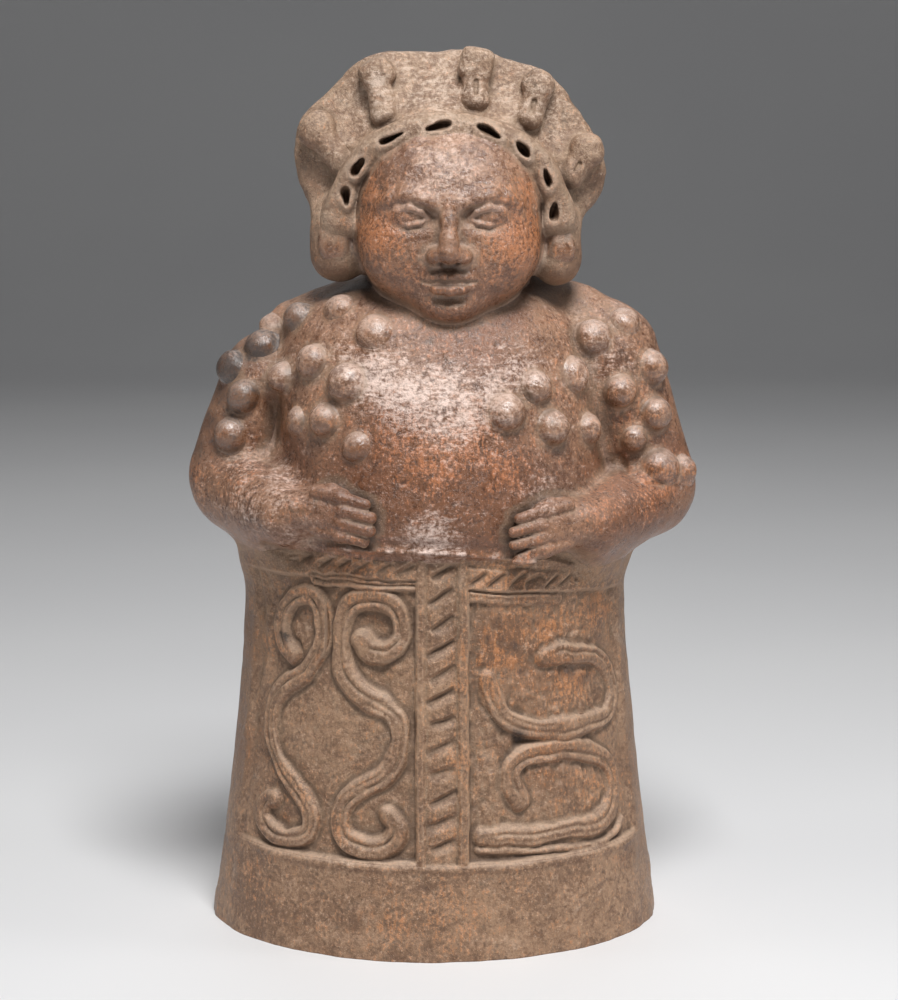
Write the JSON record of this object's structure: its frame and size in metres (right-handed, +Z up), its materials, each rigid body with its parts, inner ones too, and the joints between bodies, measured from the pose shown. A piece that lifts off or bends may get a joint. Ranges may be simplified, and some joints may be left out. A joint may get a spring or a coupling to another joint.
{
  "type": "terracotta figure",
  "caption": "Hollow fired-clay standing figure of a woman in a bell skirt with scroll relief, a beaded shawl, hands on the belly and a flaring tasselled headdress.",
  "frame": {"origin": "centre of the bounding box on the surface that the figure stands on", "axes": "+Z up; the figure faces -Y, its own right hand is at -X and its left hand at +X"},
  "size_m": [0.1976, 0.1434, 0.3401],
  "materials": {
    "skirt_clay": "low-fired greyish brown terracotta, lightly burnished and scratched",
    "body_clay": "burnished brown terracotta with worn reddish patches",
    "face_clay": "burnished reddish brown terracotta with dark speckles",
    "headdress_clay": "matt grey-tan terracotta",
    "pellet_clay": "polished brown terracotta, fire-clouded in places"
  },
  "bodies": {
    "root": {"skirt_wall": "skirt_clay", "foot_band": "skirt_clay", "skirt_placket": "skirt_clay", "belt_right": "skirt_clay", "belt_cord_right": "skirt_clay", "belt_left": "skirt_clay", "belt_cord_left": "skirt_clay", "scroll_inner": "skirt_clay", "scroll_outer": "skirt_clay", "meander_upper": "skirt_clay", "meander_lower": "skirt_clay", "bust_front": "body_clay", "bust_back": "body_clay", "neck": "body_clay", "upper_arm_right": "body_clay", "forearm_right": "body_clay", "hand_right": "body_clay", "upper_arm_left": "body_clay", "forearm_left": "body_clay", "hand_left": "body_clay", "head_back": "body_clay", "face": "face_clay", "headband": "headdress_clay", "headdress": "headdress_clay", "tassel_1": "headdress_clay", "tassel_2": "headdress_clay", "tassel_3": "headdress_clay", "tassel_4": "headdress_clay", "tassel_5": "headdress_clay", "ear_lobe_right": "headdress_clay", "ear_lobe_left": "headdress_clay", "ear_disc_right": "pellet_clay", "ear_disc_left": "pellet_clay", "pellet_right_1": "pellet_clay", "pellet_right_2": "pellet_clay", "pellet_right_3": "pellet_clay", "pellet_right_4": "pellet_clay", "pellet_right_5": "pellet_clay", "pellet_right_6": "pellet_clay", "pellet_right_7": "pellet_clay", "pellet_right_8": "pellet_clay", "pellet_right_9": "pellet_clay", "pellet_right_10": "pellet_clay", "pellet_right_11": "pellet_clay", "pellet_right_12": "pellet_clay", "pellet_right_13": "pellet_clay", "pellet_right_14": "pellet_clay", "pellet_left_1": "pellet_clay", "pellet_left_2": "pellet_clay", "pellet_left_3": "pellet_clay", "pellet_left_4": "pellet_clay", "pellet_left_5": "pellet_clay", "pellet_left_6": "pellet_clay", "pellet_left_7": "pellet_clay", "pellet_left_8": "pellet_clay", "pellet_left_9": "pellet_clay", "pellet_left_10": "pellet_clay", "pellet_left_11": "pellet_clay", "pellet_left_12": "pellet_clay", "pellet_left_13": "pellet_clay"}
  },
  "joints": []
}
